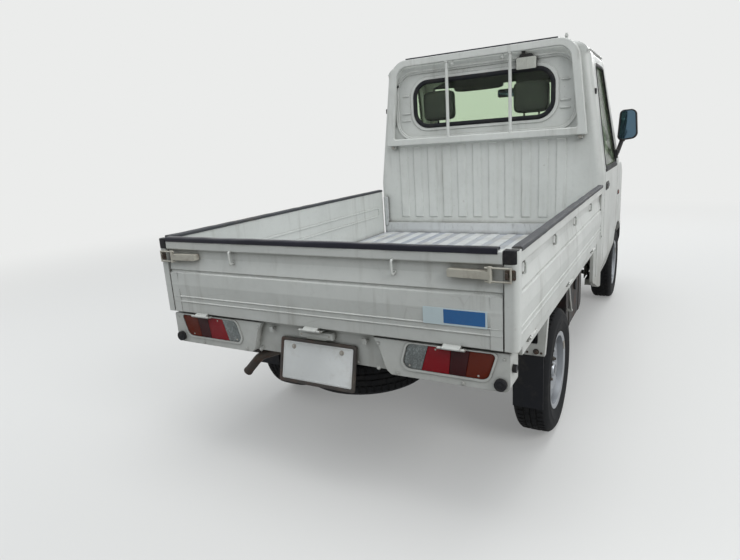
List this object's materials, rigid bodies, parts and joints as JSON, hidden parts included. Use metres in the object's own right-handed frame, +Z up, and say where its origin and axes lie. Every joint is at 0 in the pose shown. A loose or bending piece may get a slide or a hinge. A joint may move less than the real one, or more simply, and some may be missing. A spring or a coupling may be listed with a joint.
{
  "type": "kei truck",
  "caption": "Small cab-over pickup truck with a drop-side bed, guard frame behind the cab, opening doors, hood and gates, and steered, rolling wheels.",
  "frame": {"origin": "on the ground, at the middle of the truck's length and width", "axes": "-Y is forwards, +Y is the tail, +X is the truck's left side, +Z is up"},
  "size_m": [1.6986, 3.3945, 1.7979],
  "materials": {
    "white_paint": "off-white gloss enamel, scuffed and dusty",
    "chassis_black": "black chassis paint, dusty",
    "dark_plastic": "grained dark grey",
    "interior_grey": "grained grey",
    "seat_vinyl": "dark grey vinyl",
    "tinted_glass": "light green tint",
    "lamp_red": "clear, red and amber bands",
    "lamp_clear": "clear moulded lens",
    "steel_rim": "silver paint",
    "tyre": "black tyre, dusty",
    "black_rubber": "black rubber",
    "bare_steel": "dull steel with some rust",
    "cast_metal": "dusty cast metal",
    "latch_grey": "cream grey, worn",
    "blank_plate": "blank plate in a dark frame"
  },
  "bodies": {
    "truck": {"bed_floor": "white_paint", "bed_frame": "white_paint", "cab_back_panel": "white_paint", "cab_floor": "white_paint", "cab_roof": "white_paint", "cab_side_left": "white_paint", "cab_side_right": "white_paint", "chassis_frame": "chassis_black", "dashboard": "interior_grey", "engine_block": "cast_metal", "exhaust": "bare_steel", "front_bumper": "dark_plastic", "front_panel": "white_paint", "front_suspension": "chassis_black", "fuel_tank": "chassis_black", "grille": "dark_plastic", "guard_frame": "white_paint", "headlamps": "lamp_clear", "mud_flaps": "black_rubber", "number_plate": "blank_plate", "plate_lamp": "white_paint", "propeller_shaft": "chassis_black", "rear_panel": "white_paint", "rear_suspension": "chassis_black", "rear_window": "tinted_glass", "seat_left": "seat_vinyl", "seat_right": "seat_vinyl", "spare_wheel": "tyre", "stoppers": "black_rubber", "tail_lamps": "lamp_red", "windscreen": "tinted_glass", "wipers": "dark_plastic", "work_lamp": "dark_plastic"},
    "door_left": {"door_left": "white_paint", "door_glass_left": "tinted_glass", "mirror_left": "dark_plastic"},
    "door_right": {"door_right": "white_paint", "door_glass_right": "tinted_glass", "mirror_right": "dark_plastic"},
    "hood": {"hood": "white_paint"},
    "gate_left": {"gate_left": "white_paint"},
    "gate_right": {"gate_right": "white_paint"},
    "tailgate": {"tailgate": "white_paint", "latches": "latch_grey"},
    "knuckle_left": {"knuckle_left": "cast_metal"},
    "knuckle_right": {"knuckle_right": "cast_metal"},
    "steering_wheel": {"steering_wheel": "dark_plastic"},
    "wheel_front_left": {"tyre_front_left": "tyre", "rim_front_left": "steel_rim"},
    "wheel_front_right": {"tyre_front_right": "tyre", "rim_front_right": "steel_rim"},
    "wheel_rear_left": {"tyre_rear_left": "tyre", "rim_rear_left": "steel_rim"},
    "wheel_rear_right": {"tyre_rear_right": "tyre", "rim_rear_right": "steel_rim"}
  },
  "joints": [
    {"name": "door_left_swing", "type": "hinge", "parent": "truck", "child": "door_left", "pos_m": [0.728, -1.15, 0.9], "axis": [0, 0, -1], "range_deg": [0, 65]},
    {"name": "door_right_swing", "type": "hinge", "parent": "truck", "child": "door_right", "pos_m": [-0.728, -1.15, 0.9], "axis": [0, 0, 1], "range_deg": [0, 65]},
    {"name": "hood_lift", "type": "hinge", "parent": "truck", "child": "hood", "pos_m": [0, -1.437, 0.996], "axis": [-1, 0, 0], "range_deg": [0, 50]},
    {"name": "gate_left_drop", "type": "hinge", "parent": "truck", "child": "gate_left", "pos_m": [0.7325, 0.7, 0.633], "axis": [0, 1, 0], "range_deg": [0, 180]},
    {"name": "gate_right_drop", "type": "hinge", "parent": "truck", "child": "gate_right", "pos_m": [-0.7325, 0.7, 0.633], "axis": [0, -1, 0], "range_deg": [0, 180]},
    {"name": "tailgate_drop", "type": "hinge", "parent": "truck", "child": "tailgate", "pos_m": [0, 1.6925, 0.633], "axis": [-1, 0, 0], "range_deg": [0, 180]},
    {"name": "steer_left", "type": "hinge", "parent": "truck", "child": "knuckle_left", "pos_m": [0.59, -1.305, 0.175], "axis": [-0.1572, 0, 0.9876], "range_deg": [-35, 35]},
    {"name": "steer_right", "type": "hinge", "parent": "truck", "child": "knuckle_right", "pos_m": [-0.59, -1.305, 0.175], "axis": [0.1572, 0, 0.9876], "range_deg": [-35, 35]},
    {"name": "steering_wheel_turn", "type": "hinge", "parent": "truck", "child": "steering_wheel", "pos_m": [-0.33, -1.066, 0.95], "axis": [0, 0.5, 0.866], "range_deg": [-560, 560]},
    {"name": "wheel_front_left_spin", "type": "hinge", "parent": "knuckle_left", "child": "wheel_front_left", "pos_m": [0.65, -1.305, 0.268], "axis": [1, 0, 0], "continuous": true},
    {"name": "wheel_front_right_spin", "type": "hinge", "parent": "knuckle_right", "child": "wheel_front_right", "pos_m": [-0.65, -1.305, 0.268], "axis": [1, 0, 0], "continuous": true},
    {"name": "wheel_rear_left_spin", "type": "hinge", "parent": "truck", "child": "wheel_rear_left", "pos_m": [0.645, 0.895, 0.268], "axis": [1, 0, 0], "continuous": true},
    {"name": "wheel_rear_right_spin", "type": "hinge", "parent": "truck", "child": "wheel_rear_right", "pos_m": [-0.645, 0.895, 0.268], "axis": [1, 0, 0], "continuous": true}
  ],
  "couplings": [
    {"joint": "steer_right", "follows": "steer_left", "ratio": 1},
    {"joint": "steering_wheel_turn", "follows": "steer_left", "ratio": 16}
  ]
}
